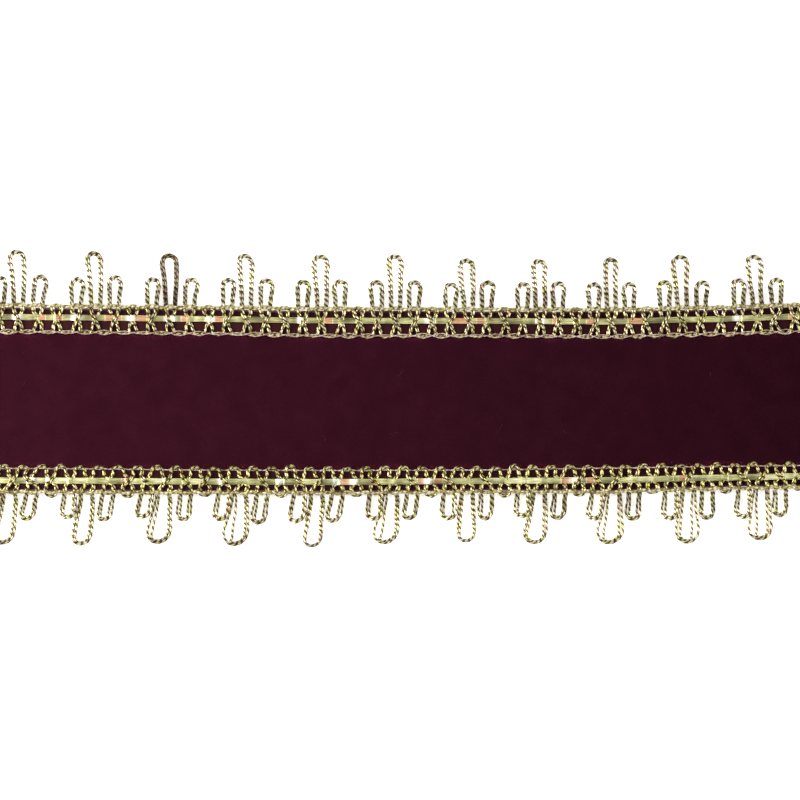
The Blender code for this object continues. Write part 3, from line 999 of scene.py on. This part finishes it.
# %% Loose fibres
FIBRE_RINGS = 5
FIBRE_SIDES = 3
TUFTS_PER_EDGE = 420
STRAYS_PER_EDGE = 16
LINT_HAIRS = 8
TUFT_Z = 1.17
LINT_Z = 1.24
STRAY_Z = 1.75
FADED = 0.6


def make_fibres(name, material, random, start, heading, lengths, bending, radius, rises):
    """Tapered three-sided tubes. Each starts at a point and runs level along its
    heading, which turns by its bend from root to tip, while it climbs by its rise in
    a half sine. Its length, bend and rise are drawn at random. All fibres are worked
    out in one array."""
    length = random.uniform(*lengths, len(start))
    bend = random.normal(0.0, bending, len(start))
    rise = random.uniform(*rises, len(start))
    share = np.linspace(0.0, 1.0, FIBRE_RINGS)
    angle = heading[:, None] + bend[:, None] * share
    step = length[:, None] * np.diff(share, prepend=0.0)
    x = start[:, 0:1] + np.cumsum(step * np.cos(angle), axis=1)
    y = start[:, 1:2] + np.cumsum(step * np.sin(angle), axis=1)
    z = start[:, 2:3] + rise[:, None] * np.sin(math.pi * share)
    corner = ring_angles(FIBRE_SIDES)
    thickness = radius * (1.0 - 0.7 * share)[None, :, None]
    x = x[..., None] - thickness * np.sin(angle)[..., None] * np.cos(corner)
    y = y[..., None] + thickness * np.cos(angle)[..., None] * np.cos(corner)
    z = z[..., None] + thickness * np.sin(corner)
    one, each = ring_faces(FIBRE_RINGS, FIBRE_SIDES), FIBRE_RINGS * FIBRE_SIDES
    faces = [[i + k * each for i in face[::-1]] for k in range(len(start)) for face in one]
    return add_mesh(name, np.stack([x, y, z], axis=-1), faces, material)


def fibre_material(name, code, roughness, metallic=0.0):
    """A fibre's finish: one colour that darkens to 0.6 of itself by a fine noise."""
    material, tree, shader = new_material(name, {"Roughness": roughness, "Metallic": metallic})
    channels = tuple(int(int(code[i : i + 2], 16) * FADED) for i in (1, 3, 5))
    shade = ramp(tree, noise(tree, 1500.0), (0.35, code), (0.75, "#%02x%02x%02x" % channels))
    tree.links.new(shade, shader.inputs["Base Color"])
    return material


def outwards(points):
    """The heading straight away from the ribbon's middle, a quarter turn to a side."""
    return np.sign(points[:, 1]) * math.pi / 2


def scatter_fibres():
    """Draws where each kind of fibre lies, at random with a fixed seed."""
    random = np.random.default_rng(5)
    tufts, loose = [], []
    for edge in (FAR, NEAR):
        x = random.uniform(-89.0, 89.0, TUFTS_PER_EDGE)
        y = (chain_line(edge, "inner", x) - random.uniform(0.35, 0.95, len(x))) * edge["side"]
        tufts.append(np.stack([x, y, np.full_like(x, TUFT_Z)], axis=1))
        x = random.uniform(-88.0, 88.0, STRAYS_PER_EDGE)
        y = (chain_line(edge, "outer", x) + 0.15) * edge["side"]
        loose.append(np.stack([x, y, np.full_like(x, STRAY_Z)], axis=1))
    tufts, loose = np.concatenate(tufts), np.concatenate(loose)
    heading = outwards(tufts) + random.normal(0.0, 0.9, len(tufts))
    finish = fibre_material("rayon_pile_tufts", "#8a2a47", 0.8)
    pile = make_fibres("pile_tufts", finish, random, tufts, heading, (0.3, 0.75), 1.0, 0.035, (0.1, 0.3))
    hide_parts("velvet_ribbon")
    x, y = random.uniform(-80, 80, LINT_HAIRS), random.uniform(-12, 12, LINT_HAIRS)
    hairs = np.stack([x, y, np.full_like(x, LINT_Z)], axis=1)
    heading = random.uniform(0, 2 * math.pi, LINT_HAIRS)
    finish = fibre_material("cotton_lint", "#7a5560", 0.9)
    lint = make_fibres("lint_hairs", finish, random, hairs, heading, (0.8, 2.6), 1.2, 0.022, (0.0, 0.1))
    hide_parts("velvet_ribbon")
    heading = outwards(loose) + random.normal(0.0, 0.8, len(loose))
    finish = fibre_material("loose_gilt_filament", "#7d7350", 0.4, 0.5)
    strays = make_fibres("loose_filaments", finish, random, loose, heading, (0.5, 1.2), 1.5, 0.05, (0.0, 0.3))
    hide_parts("far_braid", "near_braid")
    return pile, lint, strays


for fibres in scatter_fibres():
    print(fibres.name, triangles(fibres), "triangles")

# %% [markdown]
# ## Floor and light
#
# A plain white table under soft light. Two large soft boxes stand left and right, so
# the metal shines where a cord runs away from the viewer and turns dark where it runs
# from side to side, as at the tips of the loops. The floor glows a little, so that it
# stays white between the loops, as a light table does.

# %% Floor, lights and world
FLOOR_GLOW = 0.58
FLOOR_HALF = 3.0


def make_floor():
    """A square sheet of white paper that glows a little."""
    finish = {
        "Base Color": (0.9, 0.9, 0.9, 1.0),
        "Roughness": 0.9,
        "Emission Color": (1.0, 1.0, 1.0, 1.0),
        "Emission Strength": FLOOR_GLOW,
    }
    corners = [(FLOOR_HALF * i, FLOOR_HALF * j, 0) for i, j in ((-1, -1), (1, -1), (1, 1), (-1, 1))]
    mesh = bpy.data.meshes.new("floor")
    mesh.from_pydata(corners, [], [(0, 1, 2, 3)])
    mesh.materials.append(new_material("white_paper", finish)[0])
    floor = add_object("floor", mesh)


def add_light(name, place, size, power):
    """A square soft light that faces the middle of the trim."""
    data = bpy.data.lights.new(name, "AREA")
    data.size = size
    data.energy = power
    light = add_object(name, data)
    light.location = place
    light.rotation_euler = (-light.location).to_track_quat("-Z", "Y").to_euler()


make_floor()
add_light("left_box", (-0.40, 0.03, 0.36), 0.35, 2.5)
add_light("right_box", (0.55, 0.0, 0.46), 0.35, 2.0)
add_light("top_box", (0.0, 0.1, 0.9), 0.5, 1.4)

world = bpy.data.worlds.new("studio")
world.use_nodes = True
background = world.node_tree.nodes["Background"]
background.inputs["Color"].default_value = (1.0, 1.0, 1.0, 1.0)
background.inputs["Strength"].default_value = 0.12
bpy.context.scene.world = world
bpy.context.scene.view_settings.view_transform = "Standard"
bpy.context.scene.view_settings.look = "None"
